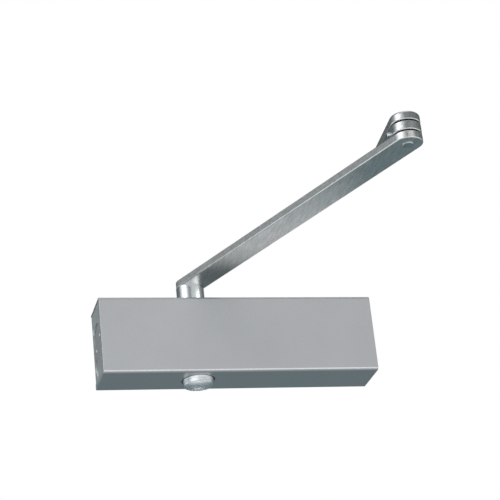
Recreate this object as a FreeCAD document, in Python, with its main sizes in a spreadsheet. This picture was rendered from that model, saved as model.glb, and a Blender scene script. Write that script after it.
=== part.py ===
"""Surface-mounted door closer: a rack-and-pinion check in a channel cover, with a flat two-bar arm.

Millimetres. +Z is up, +X to the right and -Y towards the room. The origin is in the plane of the
door face, at the centre of the four mounting holes. The closer is drawn with the door shut.
"""
import FreeCAD, Part
import math
import os
import Sketcher
from FreeCAD import Placement, Rotation, Vector

DOC = FreeCAD.newDocument("DoorCloser")

# Driving dimensions: alias, value, meaning.
DIMENSIONS = [
    ("cover_length", 210.0, "channel cover, along the door"),
    ("cover_height", 60.0, "channel cover, outside"),
    ("cover_depth", 37.0, "door face to front of cover"),
    ("cover_wall", 1.5, "sheet thickness"),
    ("cover_bend", 2.2, "outside radius of the two long bends"),
    ("cut_edge_round", 0.4, "rounded cut edges at the cover's two ends"),
    ("cover_hole_r", 12.8, "clearance round hub and cap"),
    ("lip_depth", 1.4, "thickness of the hook along the lower back edge"),
    ("lip_rise", 3.0, "height of that hook"),
    ("casting_length", 209.4, "pressure-tight casting"),
    ("casting_height", 56.4, "casting inside the cover"),
    ("casting_depth", 35.2, "casting inside the cover"),
    ("end_block", 17.0, "solid block at each end"),
    ("flange_thick", 9.0, "back flange that meets the door"),
    ("boss_r", 15.5, "upright boss round the spindle"),
    ("barrel_r", 16.5, "outside of the cylinder"),
    ("bore_r", 14.0, "cylinder bore"),
    ("plug_r", 15.5, "thread of the end plugs"),
    ("plug_length", 12.0, "end plug's thread in the casting"),
    ("plug_sunk", 0.4, "end plug's face below the end of the casting"),
    ("plug_groove_depth", 1.7, "seal groove of the end plugs"),
    ("spanner_r", 2.1, "pin-spanner dimples, at the plug's face"),
    ("spanner_ring", 9.0, "radius that the spanner dimples lie on"),
    ("spanner_depth", 1.3, "conical pin-spanner dimples"),
    ("mount_dx", 160.0, "mounting holes, along the door"),
    ("mount_dz", 44.0, "mounting holes, up the door"),
    ("mount_hole_r", 3.0, "mounting holes"),
    ("spindle_x", -30.8, "spindle axis"),
    ("spindle_y", -18.5, "spindle axis, also the height of the cylinder's axis from the door"),
    ("fit_gap", 0.05, "radial clearance of running and thread fits"),
    ("face_gap", 0.1, "axial clearance between turning faces"),
    ("tooth_module", 1.25, "pinion and rack"),
    ("tooth_count", 12.0, "pinion"),
    ("tooth_play", 0.1, "thinning of each tooth, for backlash"),
    ("gear_half", 8.0, "half of the pinion's face width"),
    ("journal_r", 7.0, "spindle journals"),
    ("square_side", 10.0, "square ends of the spindle"),
    ("bearing_r", 11.0, "outside of the bearing bushes"),
    ("bearing_inner_z", 14.6, "bearing, end next to the bore"),
    ("bearing_outer_z", 21.6, "bearing, outer end"),
    ("seal_outer_z", 24.0, "shaft seal, outer end"),
    ("nut_r", 12.3, "thread of the bearing nuts"),
    ("nut_outer_z", 28.0, "bearing nut, outer face"),
    ("nut_slot_width", 3.0, "two spanner slots of each bearing nut"),
    ("nut_slot_depth", 1.5, "two spanner slots of each bearing nut"),
    ("hub_r", 10.5, "round hub under the arm"),
    ("hub_low", 29.0, "hub, lower face"),
    ("arm_low", 44.3, "main arm, lower face"),
    ("arm_thick", 5.7, "flat bar of the main arm"),
    ("arm_r", 10.25, "half width and end radius of both bars"),
    ("arm_span", 260.0, "spindle to elbow"),
    ("arm_round", 0.8, "rounded edges of the main arm and the spacer, and of the forearm link below"),
    ("forearm_round", 2.0, "rounded upper edges of the forearm link"),
    ("arm_screw_r", 2.95, "arm screw thread"),
    ("countersink_r", 6.4, "countersink for the arm screw, at the arm's top"),
    ("countersink_depth", 3.2, "countersink for the arm screw"),
    ("elbow_washer_thick", 0.8, "thin washers of the elbow"),
    ("elbow_washer_r", 9.0, "thin washers of the elbow"),
    ("knuckle_thick", 6.6, "spacer between the bars"),
    ("forearm_thick", 6.5, "flat bar of the forearm link"),
    ("forearm_span", 43.5, "elbow to the threaded hole"),
    ("forearm_thread_r", 4.0, "M8 hole for the rest of the forearm"),
    ("pin_r", 4.0, "elbow pin"),
    ("pin_proud", 0.8, "end of the elbow pin below the main arm"),
    ("pin_head_r", 5.8, "elbow pin head"),
    ("pin_head_thick", 1.0, "elbow pin head"),
    ("bush_r", 5.6, "outside of the elbow bush"),
    ("set_screw_r", 1.0, "thread of the spacer's set screw"),
    ("set_screw_head_r", 1.6, "head of the spacer's set screw"),
    ("set_screw_head_length", 2.4, "head of the spacer's set screw"),
    ("cap_r", 12.0, "cap over the unused spindle end, upper rim"),
    ("cap_face_r", 11.2, "cap, where its tapered side meets the crowned face"),
    ("cap_crown", 1.1, "cap, rise of the crowned face"),
    ("cap_round", 0.4, "cap, round between side and face"),
    ("cap_low", -35.5, "cap, lowest point of the crowned face"),
    ("cap_high", -29.2, "cap, upper rim"),
    ("piston_left", -80.0, "piston, end towards the near plug, door shut"),
    ("piston_right", -4.0, "piston, end towards the spring, door shut"),
    ("rack_travel", 22.3, "piston travel over the spindle's full turn"),
    ("spring_wire_r", 2.1, "return spring wire"),
    ("spring_coil_r", 11.2, "return spring, mean coil radius"),
    ("spring_turns", 11.0, "return spring"),
    ("valve_r", 2.4, "regulating valve bores"),
    ("valve_sunk", 2.0, "valve heads below the end of the casting"),
    ("valve_countersink", 0.8, "countersink of the valve bores"),
    ("valve_length", 12.5, "regulating valves"),
    ("valve_y", -5.0, "closing and latching valves"),
    ("closing_valve_z", 14.0, "closing valve"),
    ("latching_valve_z", -16.5, "latching valve"),
    ("backcheck_valve_y", -10.3, "backcheck valve"),
    ("backcheck_valve_z", -20.7, "backcheck valve"),
    ("channel_r", 1.5, "oil channels"),
    ("port_r", 1.0, "ports between channels and cylinder"),
    ("return_port_x", 6.0, "ports at the spring end of the channels"),
    ("cover_screw_x", 94.0, "cover screws, either side of the middle"),
    ("cover_screw_y", -12.0, "cover screws"),
    ("cover_screw_r", 1.95, "cover screw thread"),
    ("cover_screw_length", 8.0, "cover screw thread"),
    ("cover_screw_head_r", 3.6, "cover screw head"),
    ("cover_screw_head", 1.8, "cover screw head, height"),
    ("driver_slot", 0.9, "width of screwdriver slots"),
]

ARM_ANGLE = -67.6        # main arm, degrees from +X, door shut
FOREARM_ANGLE = 86.4     # forearm link, degrees from +X, door shut
SET_SCREW_ANGLE = 159.0  # grub screw of the elbow spacer, degrees from +X
SPANNER_ANGLE = 21.0     # tilt of the spanner dimples
PRESSURE_ANGLE = math.radians(25.0)

ALONG_X = Rotation(Vector(0, 1, 0), 90)
ALONG_MINUS_X = Rotation(Vector(0, 1, 0), -90)
ALONG_Y = Rotation(Vector(1, 0, 0), -90)
UPRIGHT = Rotation()
NEAR = 1e-4              # two lengths closer than this are the same


class Size:
    """A number together with the sheet expression that gives it."""

    def __init__(self, value, text=None):
        self.value = float(value)
        self.text = text if text is not None else repr(float(value))

    def joined(self, other, sign, value):
        other = size(other)
        return Size(value(self.value, other.value), f"({self.text} {sign} {other.text})")

    def __add__(self, other):
        return self.joined(other, "+", lambda a, b: a + b)

    def __sub__(self, other):
        return self.joined(other, "-", lambda a, b: a - b)

    def __mul__(self, other):
        return self.joined(other, "*", lambda a, b: a * b)

    def __truediv__(self, other):
        return self.joined(other, "/", lambda a, b: a / b)

    def __rmul__(self, other):
        return size(other) * self

    def __neg__(self):
        return Size(0.0) - self


def size(number):
    return number if isinstance(number, Size) else Size(number)


class Sheet:
    """The spreadsheet of driving dimensions, read as attributes."""

    def __init__(self):
        table = DOC.addObject("Spreadsheet::Sheet", "Sizes")
        for row, (alias, value, meaning) in enumerate(DIMENSIONS, start=1):
            table.set(f"A{row}", alias)
            table.set(f"B{row}", str(value))
            table.set(f"C{row}", meaning)
            table.setAlias(f"B{row}", alias)
            setattr(self, alias, Size(value, f"Sizes.{alias}"))


D = Sheet()
NODES = []


def node(obj, label):
    """Name a finished sub-part and list it for export."""
    obj.Label = label
    NODES.append(obj)
    return obj


def bind(obj, **values):
    """Bind properties of an object to sheet expressions."""
    for name, value in values.items():
        setattr(obj, name, size(value).value)
        obj.setExpression(name, size(value).text)


def place(obj, at, turn=UPRIGHT):
    """Put an object at three sizes, with its own rotation."""
    at = [size(value) for value in at]
    obj.Placement = Placement(Vector(*[value.value for value in at]), turn)
    for letter, value in zip("xyz", at):
        obj.setExpression(f"Placement.Base.{letter}", value.text)


def rod(name, radius, length, at, turn=UPRIGHT):
    obj = DOC.addObject("Part::Cylinder", name)
    bind(obj, Radius=radius, Height=length)
    place(obj, at, turn)
    return obj


def cone(name, low_radius, high_radius, length, at, turn=UPRIGHT):
    obj = DOC.addObject("Part::Cone", name)
    bind(obj, Radius1=low_radius, Radius2=high_radius, Height=length)
    place(obj, at, turn)
    return obj


def block(name, lengths, at, turn=UPRIGHT):
    obj = DOC.addObject("Part::Box", name)
    bind(obj, Length=lengths[0], Width=lengths[1], Height=lengths[2])
    place(obj, at, turn)
    return obj


def hexagon(name, radius, length, at, turn=UPRIGHT):
    """Hexagonal prism, for sockets."""
    obj = DOC.addObject("Part::Prism", name)
    obj.Polygon = 6
    bind(obj, Circumradius=radius, Height=length)
    place(obj, at, turn)
    return obj


def fuse(name, pieces):
    obj = DOC.addObject("Part::MultiFuse", name)
    obj.Shapes = pieces
    obj.Refine = True
    return obj


def cut(name, base, tools):
    obj = DOC.addObject("Part::Cut", name)
    obj.Base = base
    obj.Tool = tools[0] if len(tools) == 1 else fuse(f"{name}_tools", tools)
    obj.Refine = True
    return obj


def common(name, first, second):
    obj = DOC.addObject("Part::Common", name)
    obj.Base = first
    obj.Tool = second
    return obj


def group(name, solids):
    """Separate solids that share one node."""
    obj = DOC.addObject("Part::Compound", name)
    obj.Links = solids
    return obj


def origin_plane(body, role):
    return next(item for item in body.Origin.OriginFeatures if item.Role == role)


def new_body(label):
    return DOC.addObject("PartDesign::Body", f"{label}_body")


def new_sketch(body, name, role="XY_Plane"):
    sketch = body.newObject("Sketcher::SketchObject", name)
    sketch.AttachmentSupport = [(origin_plane(body, role), "")]
    sketch.MapMode = "FlatFace"
    return sketch


def constrain(sketch, constraint, value=None):
    """Add a constraint and, where it has a size, bind it to the sheet."""
    index = sketch.addConstraint(constraint)
    if value is not None:
        sketch.setExpression(f"Constraints[{index}]", value.text)


def polygon(sketch, points):
    """Closed outline whose corners are pairs of sizes from the sketch's origin."""
    points = [(size(across), size(up)) for across, up in points]
    corners = [Vector(across.value, up.value, 0) for across, up in points]
    for index, corner in enumerate(corners):
        sketch.addGeometry(Part.LineSegment(corner, corners[(index + 1) % len(corners)]), False)
    for index, (across, up) in enumerate(points):
        before = (index - 1) % len(corners)
        constrain(sketch, Sketcher.Constraint("Coincident", before, 2, index, 1))
        if across.value == 0:
            constrain(sketch, Sketcher.Constraint("PointOnObject", index, 1, -2))
        else:
            constrain(sketch, Sketcher.Constraint("DistanceX", -1, 1, index, 1, across.value), across)
        if up.value == 0:
            constrain(sketch, Sketcher.Constraint("PointOnObject", index, 1, -1))
        else:
            constrain(sketch, Sketcher.Constraint("DistanceY", -1, 1, index, 1, up.value), up)


def turned(label, outline, at, turn=UPRIGHT, rims=(), rim_round=None):
    """Body of revolution from an outline of (radius, height) corners round its own upright axis.

    The rims, given as (radius, height) too, are rounded off.
    """
    body = new_body(label)
    sketch = new_sketch(body, f"{label}_outline", "XZ_Plane")
    polygon(sketch, outline)
    sweep = body.newObject("PartDesign::Revolution", f"{label}_turned")
    sweep.Profile = sketch
    sweep.ReferenceAxis = (sketch, ["V_Axis"])
    sweep.Angle = 360.0
    body.Tip = sweep
    if rims:
        DOC.recompute()
        rounded = body.newObject("PartDesign::Fillet", f"{label}_rounds")
        rounded.Base = (sweep, rim_edges(sweep.Shape, rims))
        bind(rounded, Radius=rim_round)
        body.Tip = rounded
    place(body, at, turn)
    return body


def rim_edges(shape, rims):
    """Names of the circular edges at given radii and heights."""
    wanted = [(size(radius).value, size(height).value) for radius, height in rims]
    names = []
    for index, edge in enumerate(shape.Edges, start=1):
        if edge.Degenerated or not isinstance(edge.Curve, Part.Circle):
            continue
        for radius, height in wanted:
            if abs(edge.Curve.Radius - radius) < NEAR and abs(edge.Curve.Center.z - height) < NEAR:
                names.append(f"Edge{index}")
    return names


def ring(label, inner, outer, low, high, at, turn=UPRIGHT):
    """Plain ring or bush."""
    return turned(label, [(inner, low), (outer, low), (outer, high), (inner, high)], at, turn)


def bar(label, span, half_width, thick, angle, at, upper_round=None):
    """Flat bar with a round end about each of two centres and rounded edges, laid along its own X axis."""
    body = new_body(label)
    sketch = new_sketch(body, f"{label}_outline")
    reach = span.value
    half = half_width.value
    near = Part.Circle(Vector(0, 0, 0), Vector(0, 0, 1), half)
    far = Part.Circle(Vector(reach, 0, 0), Vector(0, 0, 1), half)
    sketch.addGeometry(Part.ArcOfCircle(near, math.pi / 2, 3 * math.pi / 2), False)
    sketch.addGeometry(Part.LineSegment(Vector(0, -half, 0), Vector(reach, -half, 0)), False)
    sketch.addGeometry(Part.ArcOfCircle(far, -math.pi / 2, math.pi / 2), False)
    sketch.addGeometry(Part.LineSegment(Vector(reach, half, 0), Vector(0, half, 0)), False)
    for first, end, second, start in [(0, 2, 1, 1), (1, 2, 2, 1), (2, 2, 3, 1), (3, 2, 0, 1)]:
        constrain(sketch, Sketcher.Constraint("Tangent", first, end, second, start))
    constrain(sketch, Sketcher.Constraint("Coincident", 0, 3, -1, 1))
    constrain(sketch, Sketcher.Constraint("PointOnObject", 2, 3, -1))
    constrain(sketch, Sketcher.Constraint("DistanceX", -1, 1, 2, 3, reach), span)
    constrain(sketch, Sketcher.Constraint("Radius", 0, half), half_width)
    pad = body.newObject("PartDesign::Pad", f"{label}_pad")
    pad.Profile = sketch
    bind(pad, Length=thick)
    last = pad
    upper_round = upper_round or D.arm_round
    for side, height, radius in (("lower", size(0), D.arm_round), ("upper", thick, upper_round)):
        DOC.recompute()
        edges = [f"Edge{index}" for index, edge in enumerate(last.Shape.Edges, start=1)
                 if edge.BoundBox.ZLength < NEAR and abs(edge.BoundBox.ZMin - height.value) < NEAR]
        rounded = body.newObject("PartDesign::Fillet", f"{label}_{side}_rounds")
        rounded.Base = (last, edges)
        bind(rounded, Radius=radius)
        last = rounded
    body.Tip = last
    place(body, at, Rotation(Vector(0, 0, 1), angle))
    return body


# Places worked out from the driving dimensions.
SPINDLE = (D.spindle_x, D.spindle_y, size(0))
BORE_Y = D.spindle_y
CASTING_END = D.casting_length / 2
PLUG_FACE = CASTING_END - D.plug_length
ARM_TOP = D.arm_low + D.arm_thick
KNUCKLE_LOW = ARM_TOP + D.elbow_washer_thick
KNUCKLE_TOP = KNUCKLE_LOW + D.knuckle_thick
FOREARM_LOW = KNUCKLE_TOP + D.elbow_washer_thick + D.face_gap
FOREARM_TOP = FOREARM_LOW + D.forearm_thick
ARM_DIRECTION = Vector(math.cos(math.radians(ARM_ANGLE)), math.sin(math.radians(ARM_ANGLE)), 0)
ELBOW_X = D.spindle_x + D.arm_span * ARM_DIRECTION.x
ELBOW_Y = D.spindle_y + D.arm_span * ARM_DIRECTION.y
FOLLOWER_RIM = size(3.0)  # thickness of the spring follower under the spring's end
PLUG_SEAL_AT = size(3.0)  # middle of the plug's groove, from its inner end
PITCH_R = D.tooth_module * D.tooth_count / 2
TOOTH_HEIGHT = D.tooth_module
TOOTH_DEPTH = D.tooth_module * 1.25
TIP_R = PITCH_R + TOOTH_HEIGHT
RACK_TEETH = range(-8, 2)
RACK_CLEAR = 0.4          # rack teeth stop this short of the pinion's ends
WINDOW_GAP = size(0.8)    # round the pinion, in the piston's window
WINDOW_RIGHT = D.spindle_x + TIP_R + WINDOW_GAP
CHECK_SEAT = WINDOW_RIGHT + 3
PISTON_SEAL_AT = size(7.0)
PISTON_GROOVE_DEPTH = size(1.5)


VALVE_TIP = -CASTING_END + D.valve_sunk + D.valve_length
VALVE_GROOVE = size(5.4)  # middle of the valve's seal groove, from its tip


def valve_places():
    """Axis of each regulating valve in the left end: name, y, z."""
    return [
        ("closing_valve", D.valve_y, D.closing_valve_z),
        ("latching_valve", D.valve_y, D.latching_valve_z),
        ("backcheck_valve", D.backcheck_valve_y, D.backcheck_valve_z),
    ]


# ---------------------------------------------------------------- housing

def casting_solid():
    """Barrel, end blocks, back flange and spindle boss as one casting."""
    length = D.casting_length
    height = D.casting_height
    left = -CASTING_END
    pieces = [
        rod("barrel", D.barrel_r, length, (left, BORE_Y, 0), ALONG_X),
        block("flange", (length, D.flange_thick, height), (left, -D.flange_thick, -height / 2)),
        block("left_block", (D.end_block, D.casting_depth, height),
              (left, -D.casting_depth, -height / 2)),
        block("right_block", (D.end_block, D.casting_depth, height),
              (CASTING_END - D.end_block, -D.casting_depth, -height / 2)),
        rod("boss", D.boss_r, height, (D.spindle_x, BORE_Y, -height / 2)),
    ]
    return fuse("casting_solid", pieces)


def casting_bores():
    """Cylinder, plug threads and spindle bores."""
    half = D.casting_height / 2
    nut_depth = half - D.seal_outer_z
    return [
        rod("bore", D.bore_r, D.casting_length, (-CASTING_END, BORE_Y, 0), ALONG_X),
        rod("left_thread", D.plug_r, D.plug_length, (-CASTING_END, BORE_Y, 0), ALONG_X),
        rod("right_thread", D.plug_r, D.plug_length, (PLUG_FACE, BORE_Y, 0), ALONG_X),
        rod("spindle_bore", D.bearing_r, D.casting_height, (D.spindle_x, BORE_Y, -half)),
        rod("upper_nut_bore", D.nut_r, nut_depth, (D.spindle_x, BORE_Y, D.seal_outer_z)),
        rod("lower_nut_bore", D.nut_r, nut_depth, (D.spindle_x, BORE_Y, -half)),
    ]


def casting_oilways():
    """Valve bores, the two long channels and the ports that join them to the cylinder."""
    holes = []
    for name, y, z in valve_places():
        holes.append(rod(f"{name}_bore", D.valve_r, D.end_block, (-CASTING_END, y, z), ALONG_X))
        holes.append(cone(f"{name}_countersink", D.valve_r + D.valve_countersink, D.valve_r,
                          D.valve_countersink, (-CASTING_END, y, z), ALONG_X))
    channel_length = CASTING_END + D.return_port_x + D.channel_r
    for name, y, z in valve_places()[:2]:
        holes.append(rod(f"{name}_channel", D.channel_r, channel_length, (-CASTING_END, y, z), ALONG_X))
        holes.append(port(f"{name}_return", D.return_port_x, y, z))
    for name, y, z in valve_places():
        holes.append(port(f"{name}_port", VALVE_TIP - D.port_r / 2, y, z))
    return holes


def port(name, x, y, z):
    """Small hole from a channel into the cylinder, square to the cylinder's axis."""
    aim = Vector(0, BORE_Y.value - y.value, -z.value)
    into_bore = 1.5
    length = aim.Length - D.bore_r.value + into_bore
    return rod(name, D.port_r, length, (x, y, z), Rotation(Vector(0, 0, 1), aim))


def casting_fixings():
    """Mounting holes through the flange, cover-screw threads and the groove for the cover's hook."""
    holes = []
    beyond = 1.0
    for across in (-0.5, 0.5):
        for up in (-0.5, 0.5):
            start = (D.mount_dx * across, -D.flange_thick - beyond, D.mount_dz * up)
            holes.append(rod("mount_hole", D.mount_hole_r, D.flange_thick + 2 * beyond, start, ALONG_Y))
    thread_depth = D.cover_screw_length + 0.4
    for side in (-1, 1):
        start = (D.cover_screw_x * side, D.cover_screw_y, D.casting_height / 2 - thread_depth)
        holes.append(rod("cover_thread", D.cover_screw_r + D.fit_gap, thread_depth + beyond, start))
    play = 0.3
    holes.append(block(
        "hook_groove",
        (D.casting_length + 2 * beyond, D.lip_depth + play, D.lip_rise + play),
        (-CASTING_END - beyond, -D.lip_depth - play, -D.casting_height / 2 - play),
    ))
    return holes


def body_casting():
    tools = casting_bores() + casting_oilways() + casting_fixings()
    return node(cut("body_casting", casting_solid(), tools), "body_casting")


def cover():
    """Channel of bent sheet, open at the back and at both ends."""
    body = new_body("cover")
    sketch = new_sketch(body, "cover_section", "YZ_Plane")
    top = D.cover_height / 2
    front = -D.cover_depth
    wall = D.cover_wall
    hook_front = -D.lip_depth
    polygon(sketch, [
        (0, top), (front, top), (front, -top), (0, -top),
        (0, -top + wall + D.lip_rise), (hook_front, -top + wall + D.lip_rise),
        (hook_front, -top + wall), (front + wall, -top + wall), (front + wall, top - wall), (0, top - wall),
    ])
    pad = body.newObject("PartDesign::Pad", "cover_pad")
    pad.Profile = sketch
    bind(pad, Length=D.cover_length)
    pad.SideType = "Symmetric"
    DOC.recompute()
    bend = body.newObject("PartDesign::Fillet", "cover_bends")
    bend.Base = (pad, long_edges(pad.Shape, front.value))
    bind(bend, Radius=D.cover_bend)
    DOC.recompute()
    inner = body.newObject("PartDesign::Fillet", "cover_inner_bends")
    inner.Base = (bend, long_edges(bend.Shape, (front + wall).value))
    bind(inner, Radius=D.cover_bend - wall)
    DOC.recompute()
    ends = body.newObject("PartDesign::Fillet", "cover_end_rounds")
    ends.Base = (inner, cut_edges(inner.Shape))
    bind(ends, Radius=D.cut_edge_round)
    DOC.recompute()
    openings = new_sketch(body, "cover_openings")
    circle(openings, D.spindle_x, D.spindle_y, D.cover_hole_r)
    through = body.newObject("PartDesign::Pocket", "cover_spindle_holes")
    through.Profile = openings
    through.Type = "ThroughAll"
    through.SideType = "Symmetric"
    DOC.recompute()
    screws = new_sketch(body, "cover_screw_holes")
    for side in (-1, 1):
        circle(screws, D.cover_screw_x * side, D.cover_screw_y, D.cover_screw_r + 0.2)
    drilled = body.newObject("PartDesign::Pocket", "cover_drilled")
    drilled.Profile = screws
    drilled.Type = "ThroughAll"
    drilled.Reversed = True
    body.Tip = drilled
    return node(body, "cover")


def long_edges(shape, y):
    """Edges along X that lie at one distance from the door."""
    return [f"Edge{index}" for index, edge in enumerate(shape.Edges, start=1)
            if edge.BoundBox.XLength > D.cover_length.value / 2
            and abs(edge.BoundBox.YMin - y) < NEAR and abs(edge.BoundBox.YMax - y) < NEAR]


def cut_edges(shape):
    """Outer edges of the cover's front, top and bottom, at its two ends."""
    front = -D.cover_depth.value
    top = D.cover_height.value / 2
    names = []
    for index, edge in enumerate(shape.Edges, start=1):
        box = edge.BoundBox
        across_end = box.XLength < NEAR
        on_front = box.YMax - front < NEAR and box.ZLength > top
        on_top = min(abs(abs(box.ZMin) - top), abs(abs(box.ZMax) - top)) < NEAR
        on_bend = isinstance(edge.Curve, Part.Circle) and abs(edge.Curve.Radius - D.cover_bend.value) < NEAR
        lies_flat = box.ZLength < NEAR and box.YLength > top
        if across_end and (on_front or on_bend or (on_top and lies_flat)):
            names.append(f"Edge{index}")
    return names


def circle(sketch, x, y, radius):
    """Circle at two sizes from the sketch's origin."""
    shape = Part.Circle(Vector(x.value, y.value, 0), Vector(0, 0, 1), radius.value)
    index = sketch.addGeometry(shape, False)
    constrain(sketch, Sketcher.Constraint("DistanceX", -1, 1, index, 3, x.value), x)
    constrain(sketch, Sketcher.Constraint("DistanceY", -1, 1, index, 3, y.value), y)
    constrain(sketch, Sketcher.Constraint("Radius", index, radius.value), radius)


def cover_screws():
    """Two low pan-head screws in the top of the cover, with cross slots."""
    screws = []
    head_low = D.cover_height / 2 + 0.02
    head = D.cover_screw_head
    reach = 5.0
    for side, name in ((-1, "left"), (1, "right")):
        at = (D.cover_screw_x * side, D.cover_screw_y, head_low)
        blank = turned(f"cover_screw_{name}", [
            (0, -D.cover_screw_length), (D.cover_screw_r, -D.cover_screw_length), (D.cover_screw_r, 0),
            (D.cover_screw_head_r, 0), (D.cover_screw_head_r, head / 2), (D.cover_screw_head_r - 1, head),
            (0, head),
        ], at)
        slots = [block(f"cover_slot_{name}_{way}", lengths,
                       (at[0] - lengths[0] / 2, at[1] - lengths[1] / 2, head_low + head / 2))
                 for way, lengths in (("along", (size(reach), D.driver_slot, size(2.0))),
                                      ("across", (D.driver_slot, size(reach), size(2.0))))]
        screws.append(cut(f"cover_screw_{name}_cut", blank, slots))
    return node(group("cover_screws_group", screws), "cover_screws")


def end_plug(side, label):
    """Threaded plug with a seal groove and two pin-spanner dimples in its outer face."""
    outer = D.plug_length - D.plug_sunk
    thread = D.plug_r - D.fit_gap
    groove = D.plug_r - D.plug_groove_depth
    groove_low = PLUG_SEAL_AT - 1
    groove_high = PLUG_SEAL_AT + 1
    lead = 0.5
    turn = ALONG_X if side > 0 else ALONG_MINUS_X
    blank = turned(f"{label}_blank", [
        (0, 0), (thread - lead, 0), (thread, lead), (thread, groove_low), (groove, groove_low),
        (groove, groove_high), (thread, groove_high), (thread, outer), (0, outer),
    ], (PLUG_FACE * side, BORE_Y, 0), turn, [(thread, outer)], size(0.6))
    holes = []
    tilt = math.radians(SPANNER_ANGLE)
    for way in (-1, 1):
        y = BORE_Y + D.spanner_ring * (way * math.cos(tilt))
        z = D.spanner_ring * (-way * math.sin(tilt))
        x = (PLUG_FACE + outer - D.spanner_depth) * side
        holes.append(cone(f"{label}_spanner_dimple", size(0.2), D.spanner_r, D.spanner_depth,
                          (x, y, z), turn))
    return node(cut(f"{label}_cut", blank, holes), label)


def plug_seal(side, label):
    """O-ring in the groove of an end plug."""
    wire = D.plug_groove_depth / 2 - 0.07
    obj = DOC.addObject("Part::Torus", f"{label}_torus")
    bind(obj, Radius1=D.plug_r - wire - 0.08, Radius2=wire)
    place(obj, ((PLUG_FACE + PLUG_SEAL_AT) * side, BORE_Y, 0), ALONG_X)
    return node(obj, label)


def spindle_ring(label, inner, outer, low, high, upper):
    """Ring round the spindle, in the upper or the lower half of the casting."""
    if upper:
        return ring(label, inner, outer, low, high, SPINDLE)
    return ring(label, inner, outer, -high, -low, SPINDLE)


def spindle_supports(upper):
    """Bearing bush, shaft seal and slotted bearing nut of one end of the spindle."""
    side = "upper" if upper else "lower"
    inner = D.journal_r + D.fit_gap
    outer = D.bearing_r - D.fit_gap
    node(spindle_ring(f"{side}_bearing_ring", inner, outer, D.bearing_inner_z, D.bearing_outer_z, upper),
         f"{side}_bearing")
    node(spindle_ring(f"{side}_seal_ring", inner, outer, D.bearing_outer_z, D.seal_outer_z, upper),
         f"{side}_shaft_seal")
    blank = spindle_ring(f"{side}_nut_ring", inner + 0.6, D.nut_r - D.fit_gap,
                         D.seal_outer_z, D.nut_outer_z, upper)
    slot_low = D.nut_outer_z - D.nut_slot_depth if upper else -D.nut_outer_z - 1
    slot_inner = D.nut_r - 3
    slots = []
    for way, start in (("left", -D.nut_r - 1), ("right", slot_inner)):
        lengths = (D.nut_r + 1 - slot_inner, D.nut_slot_width, D.nut_slot_depth + 1)
        at = (D.spindle_x + start, D.spindle_y - D.nut_slot_width / 2, slot_low)
        slots.append(block(f"{side}_nut_slot_{way}", lengths, at))
    node(cut(f"{side}_nut_cut", blank, slots), f"{side}_bearing_nut")


def valve(label, y, z):
    """Needle valve: slotted head below the end face, seal groove and tapered tip."""
    body = D.valve_r - D.fit_gap
    neck = body - 0.8
    head = D.valve_length
    taper = 2.4
    thread_low = 3.0
    groove_low = VALVE_GROOVE - 0.8
    groove_high = VALVE_GROOVE + 0.8
    blank = turned(f"{label}_blank", [
        (0, 0), (0.5, 0), (1.3, taper), (neck, taper), (neck, thread_low), (body, thread_low),
        (body, groove_low), (neck, groove_low), (neck, groove_high), (body, groove_high),
        (body, head), (0, head),
    ], (VALVE_TIP, y, z), ALONG_MINUS_X, [(body, head)], size(0.3))
    slot_depth = 1.2
    slot = block(f"{label}_slot", (2 * slot_depth, D.driver_slot, 3 * D.valve_r),
                 (-CASTING_END + D.valve_sunk - slot_depth, y - D.driver_slot / 2, z - 1.5 * D.valve_r))
    return node(cut(f"{label}_cut", blank, [slot]), label)


def valve_seals():
    """O-rings in the grooves of the three valves."""
    wire = size(0.36)
    rings = []
    for label, y, z in valve_places():
        seal = DOC.addObject("Part::Torus", f"{label}_seal")
        bind(seal, Radius1=D.valve_r - wire - 0.07, Radius2=wire)
        place(seal, (VALVE_TIP - VALVE_GROOVE, y, z), ALONG_X)
        rings.append(seal)
    return node(group("valve_seal_group", rings), "valve_seals")


def return_spring():
    """Compression spring between the piston's follower and the right-hand plug."""
    wire = D.spring_wire_r
    clear = 0.15
    low = D.piston_right + FOLLOWER_RIM + wire + clear
    high = PLUG_FACE - wire - clear
    length = high - low
    helix = DOC.addObject("Part::Helix", "spring_path")
    bind(helix, Radius=D.spring_coil_r, Height=length, Pitch=length / D.spring_turns)
    profile = DOC.addObject("Part::Circle", "spring_wire")
    bind(profile, Radius=wire)
    profile.Placement = Placement(Vector(D.spring_coil_r.value, 0, 0), Rotation(Vector(1, 0, 0), 90))
    profile.setExpression("Placement.Base.x", D.spring_coil_r.text)
    coil = DOC.addObject("Part::Sweep", "spring_coil")
    coil.Sections = [profile]
    coil.Spine = helix
    coil.Solid = True
    coil.Frenet = True
    place(coil, (low, BORE_Y, 0), ALONG_X)
    return node(coil, "return_spring")


# ---------------------------------------------------------------- spindle and main arm

def involute(base_radius, radius, half_angle, mirror):
    """Point of a tooth flank at one radius; half_angle is the flank's angle at the base circle."""
    pressure = math.acos(min(1.0, base_radius / radius))
    angle = half_angle - (math.tan(pressure) - pressure)
    return Vector(radius * math.cos(angle), mirror * radius * math.sin(angle), 0)


def turned_about_z(point, angle):
    return Vector(point.x * math.cos(angle) - point.y * math.sin(angle),
                  point.x * math.sin(angle) + point.y * math.cos(angle), 0)


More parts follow.
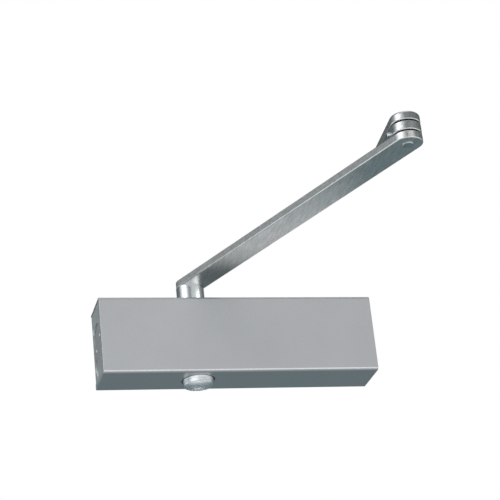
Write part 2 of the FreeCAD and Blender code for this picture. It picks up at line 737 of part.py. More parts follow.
def pinion_face():
    """Full outline of the pinion, tooth by tooth, with a tooth centred on the local X axis."""
    pitch = PITCH_R.value
    base = pitch * math.cos(PRESSURE_ANGLE)
    tip = TIP_R.value
    root = pitch - TOOTH_DEPTH.value
    count = int(D.tooth_count.value)
    thickness = math.pi * D.tooth_module.value / 2 - D.tooth_play.value
    roll = math.tan(PRESSURE_ANGLE) - PRESSURE_ANGLE
    half_angle = thickness / (2 * pitch) + roll
    radii = [base + (tip - base) * step / 5 for step in range(6)]
    rising = [involute(base, radius, half_angle, -1) for radius in radii]
    falling = [involute(base, radius, half_angle, 1) for radius in reversed(radii)]
    foot = Vector(root * math.cos(half_angle), root * math.sin(half_angle), 0)
    edges = []
    for tooth in range(count):
        turn = 2 * math.pi * tooth / count
        step = 2 * math.pi / count
        up = Part.BSplineCurve()
        up.interpolate([turned_about_z(point, turn) for point in rising])
        down = Part.BSplineCurve()
        down.interpolate([turned_about_z(point, turn) for point in falling])
        low_start = turned_about_z(Vector(foot.x, -foot.y, 0), turn)
        low_end = turned_about_z(foot, turn)
        valley = Vector(root * math.cos(turn + step / 2), root * math.sin(turn + step / 2), 0)
        next_start = turned_about_z(Vector(foot.x, -foot.y, 0), turn + step)
        crest = turned_about_z(Vector(tip, 0, 0), turn)
        edges += [
            Part.LineSegment(low_start, turned_about_z(rising[0], turn)).toShape(),
            up.toShape(),
            Part.Arc(turned_about_z(rising[-1], turn), crest, turned_about_z(falling[0], turn)).toShape(),
            down.toShape(),
            Part.LineSegment(turned_about_z(falling[-1], turn), low_end).toShape(),
            Part.Arc(low_end, valley, next_start).toShape(),
        ]
    return Part.Face(Part.Wire(edges))


def square_end(name, low, high):
    """Square milled on round stock, so its corners are turned down."""
    side = D.square_side
    corner_r = side / 2 + 1.4
    start = (D.spindle_x - side / 2, D.spindle_y - side / 2, low)
    square = block(f"{name}_flats", (side, side, high - low), start)
    stock = rod(f"{name}_stock", corner_r, high - low, (D.spindle_x, D.spindle_y, low))
    return common(name, square, stock)


def pinion_shaft():
    """Pinion, two journals and a square at each end, with a tapped hole in the top."""
    gear = DOC.addObject("Part::Feature", "pinion_teeth")
    half = D.gear_half
    gear.Shape = pinion_face().extrude(Vector(0, 0, 2 * half.value))
    place(gear, (D.spindle_x, D.spindle_y, -half))
    top = ARM_TOP - D.countersink_depth - 0.3
    bottom = D.cap_low + 1.8
    journal_end = D.hub_low - 0.5
    overlap = 1.0
    upper = rod("upper_journal", D.journal_r, D.hub_low - half, (D.spindle_x, D.spindle_y, half))
    lower = rod("lower_journal", D.journal_r, journal_end - half, (D.spindle_x, D.spindle_y, -journal_end))
    upper_square = square_end("upper_square", half + overlap, top)
    lower_square = square_end("lower_square", bottom, -half - overlap)
    core = fuse("spindle_core", [gear, upper, lower, upper_square, lower_square])
    tapped_depth = 15.0
    tapped = rod("spindle_tapped_hole", D.arm_screw_r + D.fit_gap, tapped_depth + 1,
                 (D.spindle_x, D.spindle_y, top - tapped_depth))
    return node(cut("pinion_shaft_cut", core, [tapped]), "pinion_shaft")


def square_hole(name, low, high):
    side = D.square_side + D.fit_gap * 2
    return block(name, (side, side, high - low), (D.spindle_x - side / 2, D.spindle_y - side / 2, low))


def arm_hub():
    """Round hub between the casting and the main arm, on the spindle's square."""
    blank = turned("arm_hub_blank", [
        (0, D.hub_low), (D.hub_r, D.hub_low), (D.hub_r, D.arm_low), (0, D.arm_low),
    ], SPINDLE, UPRIGHT, [(D.hub_r, D.hub_low)], size(0.4))
    return node(cut("arm_hub_cut", blank, [square_hole("hub_square", D.hub_low - 1, D.arm_low + 1)]),
                "arm_hub")


def main_arm():
    """Flat bar from the spindle to the elbow."""
    blank = bar("main_arm", D.arm_span, D.arm_r, D.arm_thick, ARM_ANGLE,
                (D.spindle_x, D.spindle_y, D.arm_low))
    countersink = cone("arm_countersink", D.countersink_r - D.countersink_depth, D.countersink_r,
                       D.countersink_depth, (D.spindle_x, D.spindle_y, ARM_TOP - D.countersink_depth))
    square = square_hole("arm_square", D.arm_low - 1, ARM_TOP - D.countersink_depth + 0.5)
    pin_hole = rod("arm_pin_hole", D.pin_r, D.arm_thick + 2, (ELBOW_X, ELBOW_Y, D.arm_low - 1))
    return node(cut("main_arm_cut", blank, [countersink, square, pin_hole]), "main_arm")


def arm_screw():
    """Countersunk screw that holds the arm down on the spindle."""
    top = ARM_TOP - 0.1
    bottom = top - 14.0
    lead = 0.5
    shank = D.arm_screw_r
    head = D.countersink_r - 0.3
    blank = turned("arm_screw_blank", [
        (0, bottom), (shank - lead, bottom), (shank, bottom + lead), (shank, top - head + shank),
        (head, top), (0, top),
    ], SPINDLE)
    socket_depth = 2.5
    socket = hexagon("arm_screw_socket", size(2.3), size(socket_depth + 0.1),
                     (D.spindle_x, D.spindle_y, top - socket_depth))
    return node(cut("arm_screw_cut", blank, [socket]), "arm_screw")


def spindle_cap():
    """Metal cap pressed over the lower square: tapered side, small round rim, crowned face."""
    low = D.cap_low
    high = D.cap_high
    rim = low + D.cap_crown
    taper = (D.cap_r - D.cap_face_r) / (high - rim)
    blank = turned("spindle_cap_blank", [
        (0, low), (D.cap_face_r - taper * D.cap_crown, low), (D.cap_r, high), (0, high),
    ], SPINDLE)
    crown_r = (D.cap_face_r * D.cap_face_r + D.cap_crown * D.cap_crown) / (D.cap_crown * 2)
    ball = DOC.addObject("Part::Sphere", "spindle_cap_ball")
    bind(ball, Radius=crown_r)
    place(ball, (D.spindle_x, D.spindle_y, low + crown_r))
    crowned = common("spindle_cap_crowned", blank, ball)
    DOC.recompute()
    rounded = DOC.addObject("Part::Fillet", "spindle_cap_rounded")
    rounded.Base = crowned
    names = rim_edges(crowned.Shape, [(D.cap_face_r, rim)])
    rounded.Edges = [(int(name[4:]), D.cap_round.value, D.cap_round.value) for name in names]
    face_thick = 1.7
    socket = square_hole("cap_square", low + face_thick, high + 1)
    return node(cut("spindle_cap_cut", rounded, [socket]), "spindle_cap")


ELBOW = (ELBOW_X, ELBOW_Y, size(0))
SET_SCREW_HEIGHT = KNUCKLE_LOW + D.knuckle_thick * 0.4
SET_SCREW_TURN = Rotation(Vector(0, 0, 1), SET_SCREW_ANGLE).multiply(ALONG_X)


def elbow_pin():
    """Pin riveted in the main arm, with a flat head over the forearm link."""
    low = D.arm_low - D.pin_proud
    head = FOREARM_TOP + D.face_gap
    top = head + D.pin_head_thick
    radius = D.pin_r - 0.02
    return node(turned("elbow_pin_blank", [
        (0, low), (radius, low), (radius, head), (D.pin_head_r, head), (D.pin_head_r, top), (0, top),
    ], ELBOW, UPRIGHT, [(radius, low), (D.pin_head_r, top)], size(0.5)), "elbow_pin")


def elbow_washer(label, low):
    high = low + D.elbow_washer_thick
    return node(ring(f"{label}_ring", D.pin_r + D.fit_gap, D.elbow_washer_r, low, high, ELBOW), label)


def elbow_knuckle():
    """Spacer between the two bars, drilled across for its set screw."""
    inner = D.pin_r + D.fit_gap
    blank = turned("elbow_knuckle_blank", [
        (inner, KNUCKLE_LOW), (D.arm_r, KNUCKLE_LOW), (D.arm_r, KNUCKLE_TOP), (inner, KNUCKLE_TOP),
    ], ELBOW, UPRIGHT, [(D.arm_r, KNUCKLE_LOW), (D.arm_r, KNUCKLE_TOP)], D.arm_round)
    thread = rod("knuckle_thread", D.set_screw_r + D.fit_gap, D.arm_r + 2,
                 (ELBOW_X, ELBOW_Y, SET_SCREW_HEIGHT), SET_SCREW_TURN)
    return node(cut("elbow_knuckle_cut", blank, [thread]), "elbow_knuckle")


def elbow_set_screw():
    """Small cheese-head screw that locks the spacer on the pin."""
    tip = D.pin_r + 0.2
    head_low = D.arm_r + 0.1
    head_top = head_low + D.set_screw_head_length
    blank = turned("elbow_set_screw_blank", [
        (0, tip), (D.set_screw_r, tip), (D.set_screw_r, head_low), (D.set_screw_head_r, head_low),
        (D.set_screw_head_r, head_top), (0, head_top),
    ], (ELBOW_X, ELBOW_Y, SET_SCREW_HEIGHT), SET_SCREW_TURN, [(D.set_screw_head_r, head_top)], size(0.3))
    angle = math.radians(SET_SCREW_ANGLE)
    reach = head_top - 1
    socket = hexagon("set_screw_socket", size(0.7), size(2.0), (
        ELBOW_X + reach * math.cos(angle), ELBOW_Y + reach * math.sin(angle), SET_SCREW_HEIGHT,
    ), SET_SCREW_TURN)
    return node(cut("elbow_set_screw_cut", blank, [socket]), "elbow_set_screw")


# ---------------------------------------------------------------- forearm link

def forearm_link():
    """Short flat link: elbow eye at one end, threaded hole for the rest of the forearm at the other."""
    blank = bar("forearm_link", D.forearm_span, D.arm_r, D.forearm_thick, FOREARM_ANGLE,
                (ELBOW_X, ELBOW_Y, FOREARM_LOW), D.forearm_round)
    low = FOREARM_LOW - 1
    length = D.forearm_thick + 2
    angle = math.radians(FOREARM_ANGLE)
    far_x = ELBOW_X + D.forearm_span * math.cos(angle)
    far_y = ELBOW_Y + D.forearm_span * math.sin(angle)
    eye = rod("forearm_eye", D.bush_r, length, (ELBOW_X, ELBOW_Y, low))
    thread = rod("forearm_thread", D.forearm_thread_r, length, (far_x, far_y, low))
    return node(cut("forearm_link_cut", blank, [eye, thread]), "forearm_link")


def elbow_bush():
    """Bronze liner of the forearm's eye."""
    return node(ring("elbow_bush_ring", D.pin_r + D.fit_gap, D.bush_r - 0.02, FOREARM_LOW, FOREARM_TOP,
                     ELBOW), "elbow_bush")


# ---------------------------------------------------------------- piston

def rack_tooth(index):
    """One rack tooth; the gap between teeth 0 and 1 faces the pinion's tooth when the door is shut."""
    pitch = math.pi * D.tooth_module.value
    middle = D.spindle_x.value + (index + 0.5) * pitch
    half = pitch / 4 - D.tooth_play.value / 2
    lean = math.tan(PRESSURE_ANGLE)
    line = D.spindle_y.value - PITCH_R.value
    tip = line + TOOTH_HEIGHT.value
    root = line - TOOTH_DEPTH.value
    tip_half = half - TOOTH_HEIGHT.value * lean
    root_half = half + TOOTH_DEPTH.value * lean
    height = D.gear_half.value - RACK_CLEAR
    into_wall = 0.5
    corners = [
        Vector(middle - root_half, root - into_wall, -height),
        Vector(middle - root_half, root, -height),
        Vector(middle - tip_half, tip, -height),
        Vector(middle + tip_half, tip, -height),
        Vector(middle + root_half, root, -height),
        Vector(middle + root_half, root - into_wall, -height),
    ]
    face = Part.Face(Part.makePolygon(corners + corners[:1]))
    tooth = DOC.addObject("Part::Feature", f"rack_tooth_{index - RACK_TEETH.start}")
    tooth.Shape = face.extrude(Vector(0, 0, 2 * height))
    return tooth


def piston():
    """Hollowed piston: rack on the front wall of its window, seal groove and non-return bore."""
    radius = D.bore_r - D.fit_gap
    length = D.piston_right - D.piston_left
    lead = 1.0
    groove = radius - PISTON_GROOVE_DEPTH
    groove_low = PISTON_SEAL_AT - 1
    groove_high = PISTON_SEAL_AT + 1
    blank = turned("piston_blank", [
        (0, 0), (radius - lead, 0), (radius, lead), (radius, groove_low), (groove, groove_low),
        (groove, groove_high), (radius, groove_high), (radius, length), (0, length),
    ], (D.piston_left, BORE_Y, 0), ALONG_X)
    window_left = D.spindle_x - TIP_R - WINDOW_GAP - D.rack_travel
    front = BORE_Y - PITCH_R - TOOTH_DEPTH
    back = BORE_Y + TIP_R + WINDOW_GAP
    window = block("piston_window", (WINDOW_RIGHT - window_left, back - front, D.bore_r * 2),
                   (window_left, front, -D.bore_r))
    valve_bore = rod("check_valve_bore", size(4.0), D.piston_right - WINDOW_RIGHT,
                     (CHECK_SEAT, BORE_Y, 0), ALONG_X)
    oil_hole = rod("check_valve_inlet", size(1.6), size(6.0), (WINDOW_RIGHT - 1, BORE_Y, 0), ALONG_X)
    hollowed = cut("piston_hollowed", blank, [window, valve_bore, oil_hole])
    teeth = [rack_tooth(index) for index in RACK_TEETH]
    return node(fuse("piston_toothed", [hollowed] + teeth), "piston")


def piston_seal():
    """O-ring in the piston's groove."""
    wire = size(0.68)
    seal = DOC.addObject("Part::Torus", "piston_seal_torus")
    bind(seal, Radius1=D.bore_r - wire - 0.14, Radius2=wire)
    place(seal, (D.piston_left + PISTON_SEAL_AT, BORE_Y, 0), ALONG_X)
    return node(seal, "piston_seal")


def check_valve():
    """Non-return ball and its drilled retaining screw, in the piston's spring end."""
    ball_r = size(2.5)
    ball = DOC.addObject("Part::Sphere", "check_ball_sphere")
    bind(ball, Radius=ball_r)
    place(ball, (CHECK_SEAT + ball_r + D.face_gap, BORE_Y, 0))
    node(ball, "check_ball")
    length = size(5.0)
    start = (D.piston_right - length - 1, BORE_Y, 0)
    screw = ring("check_screw_ring", size(1.2), size(3.95), 0, length, start, ALONG_X)
    node(screw, "check_ball_retainer")


def spring_follower():
    """Stepped disc that seats the spring on the piston."""
    start = (D.piston_right + D.fit_gap, BORE_Y, 0)
    rim = FOLLOWER_RIM - 0.2
    hole_r = 2.0
    spigot = D.spring_coil_r - D.spring_wire_r - 0.5
    spigot_end = 6.0
    return node(turned("spring_follower_disc", [
        (hole_r, 0), (D.bore_r - 0.6, 0), (D.bore_r - 0.6, rim), (spigot, rim),
        (spigot - 0.7, spigot_end), (hole_r, spigot_end),
    ], start, ALONG_X), "spring_follower")


# ---------------------------------------------------------------- build, check, write

def build():
    body_casting()
    cover()
    cover_screws()
    end_plug(-1, "left_end_plug")
    end_plug(1, "right_end_plug")
    plug_seal(-1, "left_plug_seal")
    plug_seal(1, "right_plug_seal")
    spindle_supports(True)
    spindle_supports(False)
    for label, y, z in valve_places():
        valve(label, y, z)
    valve_seals()
    return_spring()
    pinion_shaft()
    arm_hub()
    main_arm()
    arm_screw()
    spindle_cap()
    elbow_pin()
    elbow_washer("lower_elbow_washer", ARM_TOP)
    elbow_knuckle()
    elbow_washer("upper_elbow_washer", KNUCKLE_TOP)
    elbow_set_screw()
    forearm_link()
    elbow_bush()
    piston()
    piston_seal()
    check_valve()
    spring_follower()


def check():
    """Stop if any object failed or any sub-part is empty or broken."""
    for obj in DOC.Objects:
        if "Invalid" in obj.State or "Error" in obj.State:
            raise RuntimeError(f"{obj.Label} failed: {obj.State}")
    for obj in NODES:
        if obj.Shape.isNull() or not obj.Shape.isValid() or not obj.Shape.Solids:
            raise RuntimeError(f"{obj.Label} has no valid solid")


def write():
    os.makedirs("parts", exist_ok=True)
    for obj in NODES:
        obj.Shape.exportStep(f"parts/{obj.Label}.step")


build()
DOC.recompute()
check()
write()
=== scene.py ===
"""Looks of a surface-mounted door closer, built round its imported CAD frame.

Lengths are metres and angles are degrees, in the part's own frame: X along the body, -Y out from the
door, +Z up. Azimuth 0 is straight in front of the closer, and 90 is at its right-hand end.
"""
import math

import bpy
from mathutils import Matrix, Vector


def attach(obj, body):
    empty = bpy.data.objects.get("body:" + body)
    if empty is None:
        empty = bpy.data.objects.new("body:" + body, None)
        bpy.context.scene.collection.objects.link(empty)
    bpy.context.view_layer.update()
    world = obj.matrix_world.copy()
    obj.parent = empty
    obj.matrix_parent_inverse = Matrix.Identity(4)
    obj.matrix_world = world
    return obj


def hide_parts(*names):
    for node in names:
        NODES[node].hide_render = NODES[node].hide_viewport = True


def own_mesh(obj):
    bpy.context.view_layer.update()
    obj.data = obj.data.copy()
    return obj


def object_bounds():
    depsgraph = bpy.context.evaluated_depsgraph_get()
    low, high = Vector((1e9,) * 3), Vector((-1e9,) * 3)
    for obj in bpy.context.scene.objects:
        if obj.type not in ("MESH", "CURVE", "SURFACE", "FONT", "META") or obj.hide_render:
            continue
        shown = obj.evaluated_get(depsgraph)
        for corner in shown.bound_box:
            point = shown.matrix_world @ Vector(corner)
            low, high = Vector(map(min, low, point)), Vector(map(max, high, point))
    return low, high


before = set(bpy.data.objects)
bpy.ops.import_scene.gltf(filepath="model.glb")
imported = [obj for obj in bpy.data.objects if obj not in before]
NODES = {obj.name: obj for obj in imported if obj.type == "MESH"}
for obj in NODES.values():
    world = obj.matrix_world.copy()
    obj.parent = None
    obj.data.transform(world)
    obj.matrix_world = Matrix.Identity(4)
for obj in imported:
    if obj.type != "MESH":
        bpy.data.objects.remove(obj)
CAD_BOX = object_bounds()

# Camera: below the closer, to its left and in front of it, slightly tilted.
CAMERA_PLACE = (-0.3329, -1.2828, -0.5000)
CAMERA_RISE = 23.73
CAMERA_TURN = 15.59
CAMERA_ROLL = -6.18
LENS_MM = 133.07
SENSOR_MM = 36.0
CLIP_START = 0.01
CLIP_END = 100.0

# Floor: plain and pale, well below the closer.
FLOOR_DROP = 1.1
FLOOR_RADIUS = 30.0
FLOOR_SIDES = 96
FLOOR_GREY = 0.86
FLOOR_ROUGHNESS = 0.9
FLOOR_GLOW = 0.42

LIGHT_DISTANCE = 1.6

# What the closer reflects. Two skies, one behind it and one in front, each a colour by height from
# straight down (0) to straight up (1).
BACK_SKY = (
    (0.00, (0.36, 0.40, 0.41)),
    (0.15, (0.26, 0.31, 0.33)),
    (0.29, (0.150, 0.215, 0.235)),
    (0.48, (0.155, 0.210, 0.225)),
    (0.58, (0.13, 0.15, 0.155)),
    (0.78, (0.13, 0.15, 0.155)),
    (1.00, (0.20, 0.21, 0.215)),
)
FRONT_SKY = (
    (0.00, (0.40, 0.43, 0.44)),
    (0.12, (0.60, 0.62, 0.64)),
    (0.26, (1.25, 1.27, 1.30)),
    (0.50, (1.25, 1.27, 1.30)),
    (0.58, (0.35, 0.36, 0.37)),
    (0.66, (0.20, 0.215, 0.22)),
    (1.00, (0.20, 0.21, 0.215)),
)
# The front sky's azimuth and elevation, and the angles from there at which it is full and gone.
FRONT = (15, 0, 62, 112)
# Soft glows, added to the skies: azimuth, elevation, full and gone as above, and colour.
GLOWS = (
    (-66, 26, 8, 41, (1.15, 1.16, 1.18)),
    (-115, -18, 6, 38, (1.10, 1.11, 1.13)),
)

# The middle range of a noise, which its effects are stretched from.
NOISE_LOW = 0.25
NOISE_HIGH = 0.75
# How far a rounded normal has turned from the true one, as a cosine, off an edge and on it.
EDGE_OFF = 0.995
EDGE_ON = 0.86
EDGE_SAMPLES = 6


# ------------------------------------------------------------------ studio


def direction(azimuth, elevation):
    """Unit vector from the closer towards a place given by azimuth and elevation."""
    a, e = math.radians(azimuth), math.radians(elevation)
    return Vector((math.sin(a) * math.cos(e), -math.cos(a) * math.cos(e), math.sin(e)))


def make_camera():
    data = bpy.data.cameras.new("camera")
    data.sensor_width = SENSOR_MM
    data.lens = LENS_MM
    data.clip_start = CLIP_START
    data.clip_end = CLIP_END
    camera = bpy.data.objects.new("camera", data)
    turn = Matrix.Rotation(math.radians(-CAMERA_TURN), 4, "Z")
    rise = Matrix.Rotation(math.radians(90 + CAMERA_RISE), 4, "X")
    roll = Matrix.Rotation(math.radians(CAMERA_ROLL), 4, "Z")
    camera.matrix_world = Matrix.Translation(CAMERA_PLACE) @ turn @ rise @ roll
    bpy.context.scene.collection.objects.link(camera)
    bpy.context.scene.camera = camera


def soft_light(name, azimuth, elevation, size, power, only=(), distance=LIGHT_DISTANCE):
    """A rectangular soft light that faces the middle of the closer, or lights only some of its nodes."""
    data = bpy.data.lights.new(name, "AREA")
    data.shape = "RECTANGLE"
    data.size, data.size_y = size
    data.energy = power
    lamp = bpy.data.objects.new(name, data)
    centre = (CAD_BOX[0] + CAD_BOX[1]) / 2
    lamp.location = centre + direction(azimuth, elevation) * distance
    lamp.rotation_mode = "QUATERNION"
    lamp.rotation_quaternion = direction(azimuth, elevation).to_track_quat("Z", "Y")
    lamp.visible_camera = False
    bpy.context.scene.collection.objects.link(lamp)
    if only:
        lit = bpy.data.collections.new(f"lit_by_{name}")
        for node in only:
            lit.objects.link(NODES[node])
        lamp.light_linking.receiver_collection = lit


def make_lights():
    soft_light("key_light", -66, 30, (0.7, 0.8), 2.2)
    soft_light("top_light", 20, 80, (1.2, 1.2), 3, distance=1.4)
    soft_light("face_light", 14, 26, (1.0, 0.9), 1.9, only=("cover", "arm_hub", "main_arm"))
    soft_light("edge_light", 15, -22, (1.8, 0.4), 2.6, only=("cover",))
    soft_light("end_light", -164, 24, (1.0, 0.8), 0.5, only=("body_casting", "left_end_plug"))
    soft_light("back_light", 170, 42, (1.2, 0.8), 7.0, only=("body_casting",))
    soft_light("hub_light", 48, 6, (1.0, 1.3), 17.0, only=("arm_hub",))
    soft_light("hub_core", 48, 6, (0.5, 1.3), 11.0, only=("arm_hub",))
    soft_light("arm_light", -122, 24, (0.8, 0.8), 0.35, only=("main_arm",))
    soft_light("elbow_light", 30, 4, (1.0, 0.9), 1.4, only=("elbow_knuckle", "main_arm"))
    soft_light("screw_light", 10, -10, (1.0, 1.0), 3.0, only=("elbow_set_screw",))
    soft_light("pin_light", -15, 24, (1.8, 0.8), 14.0, only=("elbow_pin",))
    soft_light("cap_fill", 166, -48, (1.0, 0.6), 2.4, only=("spindle_cap",))
    soft_light("cap_front", -30, -8, (0.9, 0.5), 1.2, only=("spindle_cap",))
    soft_light("cap_glint", 169, -13, (0.11, 0.11), 0.09, only=("spindle_cap",))


class Studio:
    """The nodes of the world."""

    def __init__(self):
        self.world = bpy.data.worlds.new("studio")
        self.world.use_nodes = True
        self.nodes = self.world.node_tree.nodes
        self.nodes.clear()
        self.link = self.world.node_tree.links.new
        self.towards = self.nodes.new("ShaderNodeTexCoord").outputs["Generated"]

    def height(self):
        """0 straight down, 1 straight up."""
        split = self.nodes.new("ShaderNodeSeparateXYZ")
        self.link(self.towards, split.inputs[0])
        height = self.nodes.new("ShaderNodeMapRange")
        height.inputs["From Min"].default_value = -1.0
        self.link(split.outputs["Z"], height.inputs["Value"])
        return height.outputs["Result"]

    def sky(self, stops, height):
        ramp = self.nodes.new("ShaderNodeValToRGB")
        for element, (position, colour) in zip(ramp.color_ramp.elements, (stops[0], stops[-1])):
            element.position = position
            element.color = (*colour, 1)
        for position, colour in stops[1:-1]:
            ramp.color_ramp.elements.new(position).color = (*colour, 1)
        self.link(height, ramp.inputs["Fac"])
        return ramp.outputs["Color"]

    def near(self, azimuth, elevation, full, gone):
        """1 within an angle of a direction, falling smoothly to 0 at a wider angle."""
        dot = self.nodes.new("ShaderNodeVectorMath")
        dot.operation = "DOT_PRODUCT"
        dot.inputs[1].default_value = direction(azimuth, elevation)
        self.link(self.towards, dot.inputs[0])
        fade = self.nodes.new("ShaderNodeMapRange")
        fade.interpolation_type = "SMOOTHSTEP"
        fade.inputs["From Min"].default_value = math.cos(math.radians(gone))
        fade.inputs["From Max"].default_value = math.cos(math.radians(full))
        self.link(dot.outputs["Value"], fade.inputs["Value"])
        return fade.outputs["Result"]

    def mixed(self, share, first, second):
        blend = self.nodes.new("ShaderNodeMix")
        blend.data_type = "RGBA"
        self.link(share, blend.inputs["Factor"])
        self.link(first, blend.inputs["A"])
        self.link(second, blend.inputs["B"])
        return blend.outputs["Result"]

    def glowing(self, light, share, colour):
        """light, with a share of a colour added to it."""
        glow = self.nodes.new("ShaderNodeVectorMath")
        glow.operation = "SCALE"
        glow.inputs[0].default_value = colour
        self.link(share, glow.inputs["Scale"])
        total = self.nodes.new("ShaderNodeVectorMath")
        total.operation = "ADD"
        self.link(light, total.inputs[0])
        self.link(glow.outputs[0], total.inputs[1])
        return total.outputs[0]

    def white_to_camera(self, light):
        """White where the camera looks straight at it, and light for everything else."""
        around = self.nodes.new("ShaderNodeBackground")
        self.link(light, around.inputs["Color"])
        paper = self.nodes.new("ShaderNodeBackground")
        paper.inputs["Color"].default_value = (1, 1, 1, 1)
        rays = self.nodes.new("ShaderNodeLightPath")
        choose = self.nodes.new("ShaderNodeMixShader")
        self.link(rays.outputs["Is Camera Ray"], choose.inputs[0])
        self.link(around.outputs[0], choose.inputs[1])
        self.link(paper.outputs[0], choose.inputs[2])
        out = self.nodes.new("ShaderNodeOutputWorld")
        self.link(choose.outputs[0], out.inputs["Surface"])


def make_world():
    """White to the camera. Everything else sees a dark, cool studio with a few large soft glows."""
    studio = Studio()
    height = studio.height()
    back = studio.sky(BACK_SKY, height)
    front = studio.sky(FRONT_SKY, height)
    light = studio.mixed(studio.near(*FRONT), back, front)
    for azimuth, elevation, full, gone, colour in GLOWS:
        light = studio.glowing(light, studio.near(azimuth, elevation, full, gone), colour)
    studio.white_to_camera(light)
    bpy.context.scene.world = studio.world
    bpy.context.scene.view_settings.view_transform = "Standard"


def make_floor():
    """A plain pale floor, which neither lights the closer nor shows in it."""
    turns = [2 * math.pi * i / FLOOR_SIDES for i in range(FLOOR_SIDES)]
    rim = [(FLOOR_RADIUS * math.cos(turn), FLOOR_RADIUS * math.sin(turn), 0) for turn in turns]
    mesh = bpy.data.meshes.new("floor")
    mesh.from_pydata(rim, [], [list(range(FLOOR_SIDES))])
    floor = bpy.data.objects.new("floor", mesh)
    floor.location.z = CAD_BOX[0].z - FLOOR_DROP
    floor.visible_glossy = False
    floor.visible_diffuse = False
    finish = bpy.data.materials.new("floor")
    finish.use_nodes = True
    shader = finish.node_tree.nodes["Principled BSDF"]
    shader.inputs["Base Color"].default_value = (FLOOR_GREY, FLOOR_GREY, FLOOR_GREY, 1)
    shader.inputs["Roughness"].default_value = FLOOR_ROUGHNESS
    shader.inputs["Emission Color"].default_value = (1, 1, 1, 1)
    shader.inputs["Emission Strength"].default_value = FLOOR_GLOW
    mesh.materials.append(finish)
    bpy.context.scene.collection.objects.link(floor)


# ------------------------------------------------------------------ finishes


class Finish:
    """One material's nodes. Its textures lie in the part's own frame, so they move with the piece."""

    def __init__(self, name, colour, metallic, roughness):
        self.material = bpy.data.materials.new(name)
        self.material.use_nodes = True
        self.tree = self.material.node_tree
        self.shader = self.tree.nodes["Principled BSDF"]
        self.place = self.add("ShaderNodeTexCoord").outputs["Object"]
        self.colour = self.plain(colour)
        self.roughness = roughness
        self.normal = None
        self.shader.inputs["Metallic"].default_value = metallic

    def add(self, kind, **settings):
        node = self.tree.nodes.new(kind)
        for key, value in settings.items():
            setattr(node, key, value)
        return node

    def wire(self, source, target):
        """Links a node's output, or sets a plain value."""
        if isinstance(source, (int, float, tuple)):
            target.default_value = source
        else:
            self.tree.links.new(source, target)

    def plain(self, colour):
        node = self.add("ShaderNodeRGB")
        node.outputs[0].default_value = (*colour, 1)
        return node.outputs[0]

    def math(self, operation, first, second, clamp=False):
        node = self.add("ShaderNodeMath", operation=operation, use_clamp=clamp)
        self.wire(first, node.inputs[0])
        self.wire(second, node.inputs[1])
        return node.outputs[0]

    def spread(self, value, low, high, low_out=0.0, high_out=1.0):
        """value, stretched so that low..high becomes low_out..high_out, and kept inside it."""
        node = self.add("ShaderNodeMapRange")
        self.wire(value, node.inputs["Value"])
        node.inputs["From Min"].default_value = low
        node.inputs["From Max"].default_value = high
        node.inputs["To Min"].default_value = low_out
        node.inputs["To Max"].default_value = high_out
        return node.outputs["Result"]

    def stretched(self, scale):
        """Coordinates squeezed along each axis, which draws a noise out into grain."""
        node = self.add("ShaderNodeMapping")
        self.wire(self.place, node.inputs["Vector"])
        node.inputs["Scale"].default_value = scale
        return node.outputs[0]

    def noise(self, size, detail, coordinates=None):
        """Cloudy noise from 0 to 1 whose largest patches are about size metres across."""
        node = self.add("ShaderNodeTexNoise")
        self.wire(coordinates or self.place, node.inputs["Vector"])
        node.inputs["Scale"].default_value = 1 / size
        node.inputs["Detail"].default_value = detail
        return node.outputs["Fac"]

    def tint(self, share, colour):
        """Mixes a colour into the base by a share from 0 to 1."""
        node = self.add("ShaderNodeMix", data_type="RGBA")
        self.wire(share, node.inputs["Factor"])
        self.wire(self.colour, node.inputs["A"])
        node.inputs["B"].default_value = (*colour, 1)
        self.colour = node.outputs["Result"]

    def shade(self, value, depth):
        """Makes the base lighter and darker by up to depth each way, following a noise."""
        factor = self.spread(value, NOISE_LOW, NOISE_HIGH, 1 - depth, 1 + depth)
        node = self.add("ShaderNodeVectorMath", operation="SCALE")
        self.wire(self.colour, node.inputs[0])
        self.wire(factor, node.inputs["Scale"])
        self.colour = node.outputs[0]

    def roughen(self, value, depth):
        """Varies the roughness by up to depth each way, following a noise."""
        offset = self.spread(value, NOISE_LOW, NOISE_HIGH, -depth, depth)
        self.roughness = self.math("ADD", offset, self.roughness, clamp=True)

    def bump(self, value, height, strength):
        node = self.add("ShaderNodeBump")
        node.inputs["Strength"].default_value = strength
        node.inputs["Distance"].default_value = height
        self.wire(value, node.inputs["Height"])
        if self.normal is not None:
            self.wire(self.normal, node.inputs["Normal"])
        self.normal = node.outputs[0]

    def wear(self, width, share, colour):
        """Mixes a colour into the base along sharp edges."""
        rounded = self.add("ShaderNodeBevel", samples=EDGE_SAMPLES)
        rounded.inputs["Radius"].default_value = width
        geometry = self.add("ShaderNodeNewGeometry")
        dot = self.add("ShaderNodeVectorMath", operation="DOT_PRODUCT")
        self.wire(rounded.outputs[0], dot.inputs[0])
        self.wire(geometry.outputs["Normal"], dot.inputs[1])
        edge = self.spread(dot.outputs["Value"], EDGE_OFF, EDGE_ON)
        self.tint(self.math("MULTIPLY", edge, share), colour)

    def done(self):
        self.wire(self.colour, self.shader.inputs["Base Color"])
        self.wire(self.roughness, self.shader.inputs["Roughness"])
        self.wire(self.normal, self.shader.inputs["Normal"])
        return self.material


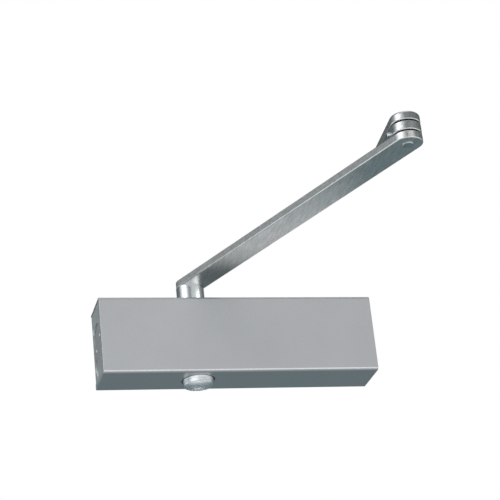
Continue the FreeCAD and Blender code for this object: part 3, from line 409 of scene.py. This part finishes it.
def cover_paint():
    """Silver stoving enamel: fine metallic flake under a thin clear coat."""
    f = Finish("cover_paint", (0.565, 0.57, 0.58), 0.8, 0.40)
    f.shade(f.noise(0.030, 2), 0.02)
    f.shade(f.noise(0.0009, 2), 0.05)
    f.tint(f.math("MULTIPLY", f.noise(0.050, 1), 0.12), (0.46, 0.50, 0.52))
    f.roughen(f.noise(0.012, 3), 0.03)
    f.bump(f.noise(0.0011, 3), 0.00003, 0.35)
    f.wear(0.0007, 0.45, (0.85, 0.86, 0.88))
    f.shader.inputs["Coat Weight"].default_value = 0.5
    f.shader.inputs["Coat Roughness"].default_value = 0.16
    return f.done()


def cast_aluminium():
    """Die-cast housing, blasted, with a faint green-grey oxide."""
    f = Finish("cast_aluminium", (0.47, 0.50, 0.50), 0.8, 0.50)
    f.shade(f.noise(0.010, 4), 0.10)
    f.shade(f.noise(0.0006, 2), 0.10)
    f.roughen(f.noise(0.004, 4), 0.06)
    f.bump(f.noise(0.0009, 4), 0.00008, 0.6)
    f.wear(0.0005, 0.5, (0.62, 0.64, 0.65))
    return f.done()


def zinc_steel():
    """Bright zinc plate on turned steel."""
    f = Finish("zinc_steel", (0.52, 0.54, 0.55), 1.0, 0.28)
    f.shade(f.noise(0.004, 4), 0.08)
    f.roughen(f.noise(0.0015, 4), 0.08)
    f.bump(f.noise(0.0004, 3), 0.00003, 0.4)
    f.wear(0.0004, 0.5, (0.80, 0.81, 0.82))
    return f.done()


def seal_rubber():
    f = Finish("seal_rubber", (0.018, 0.018, 0.019), 0.0, 0.55)
    f.shade(f.noise(0.003, 4), 0.3)
    f.bump(f.noise(0.0005, 3), 0.00002, 0.5)
    return f.done()


def bearing_bronze():
    f = Finish("bearing_bronze", (0.52, 0.33, 0.14), 1.0, 0.34)
    f.shade(f.noise(0.003, 4), 0.15)
    f.roughen(f.noise(0.001, 3), 0.08)
    f.bump(f.noise(0.0004, 3), 0.00003, 0.5)
    return f.done()


def spring_steel():
    f = Finish("spring_steel", (0.10, 0.105, 0.115), 1.0, 0.32)
    f.shade(f.noise(0.006, 4), 0.2)
    f.roughen(f.noise(0.002, 3), 0.08)
    f.bump(f.noise(0.0006, 3), 0.00002, 0.5)
    return f.done()


def hardened_steel():
    f = Finish("hardened_steel", (0.34, 0.34, 0.345), 1.0, 0.24)
    f.shade(f.noise(0.004, 4), 0.12)
    f.roughen(f.noise(0.001, 3), 0.07)
    f.bump(f.noise(0.0003, 3), 0.00002, 0.4)
    return f.done()


def bright_chrome():
    """Polished and plated turnings: the hub and the cap, with fine turning marks round them."""
    f = Finish("bright_chrome", (0.68, 0.70, 0.71), 1.0, 0.28)
    f.shade(f.noise(0.0025, 4), 0.06)
    f.shade(f.noise(0.0006, 2), 0.04)
    f.roughen(f.noise(0.0012, 4), 0.03)
    f.bump(f.noise(0.0007, 3), 0.00003, 0.15)
    f.bump(f.noise(0.0005, 2, f.stretched((0.03, 0.03, 1.0))), 0.00005, 1.0)
    return f.done()


def arm_nickel():
    """Satin nickel over steel bar, ground across the bar."""
    f = Finish("arm_nickel", (0.63, 0.64, 0.628), 1.0, 0.34)
    grind = f.noise(0.0012, 2, f.stretched((1.0, 0.08, 1.0)))
    f.shade(f.noise(0.010, 3), 0.06)
    f.shade(f.noise(0.0010, 3), 0.16)
    f.shade(grind, 0.18)
    f.roughen(f.noise(0.0020, 4), 0.06)
    f.bump(f.noise(0.0010, 3), 0.00006, 0.6)
    f.wear(0.0006, 0.6, (0.78, 0.79, 0.80))
    return f.done()


# Nylon washers between the elbow discs. Their near-black colour and weak reflection are partly their own
# and partly painted shade: they stand in for the shadow in the gaps between the discs.
def washer_nylon():
    f = Finish("washer_nylon", (0.008, 0.009, 0.010), 0.0, 0.75)
    f.shade(f.noise(0.002, 3), 0.25)
    f.bump(f.noise(0.0005, 3), 0.00002, 0.4)
    f.shader.inputs["Specular IOR Level"].default_value = 0.15
    return f.done()


FINISHES = (
    cover_paint, cast_aluminium, zinc_steel, seal_rubber, bearing_bronze,
    spring_steel, hardened_steel, bright_chrome, arm_nickel, washer_nylon,
)


# ------------------------------------------------------------------ pieces


def dress_nodes(finishes):
    """Gives each CAD node the finish of its own material slot."""
    for node in NODES.values():
        for slot in node.material_slots:
            slot.material = finishes[slot.material.name.split(".")[0]]


def shortening_spring(finish):
    """A copy of the closing spring, fixed to the housing, which takes the place of the hidden CAD
    spring.
    """
    spring = bpy.data.objects.new("closing_spring", NODES["return_spring"].data.copy())
    bpy.context.scene.collection.objects.link(spring)
    spring.data.materials.clear()
    spring.data.materials.append(finish)
    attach(spring, "housing")
    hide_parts("return_spring")
    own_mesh(spring)


make_camera()
make_lights()
make_world()
make_floor()
made = {make.__name__: make() for make in FINISHES}
dress_nodes(made)
shortening_spring(made["spring_steel"])
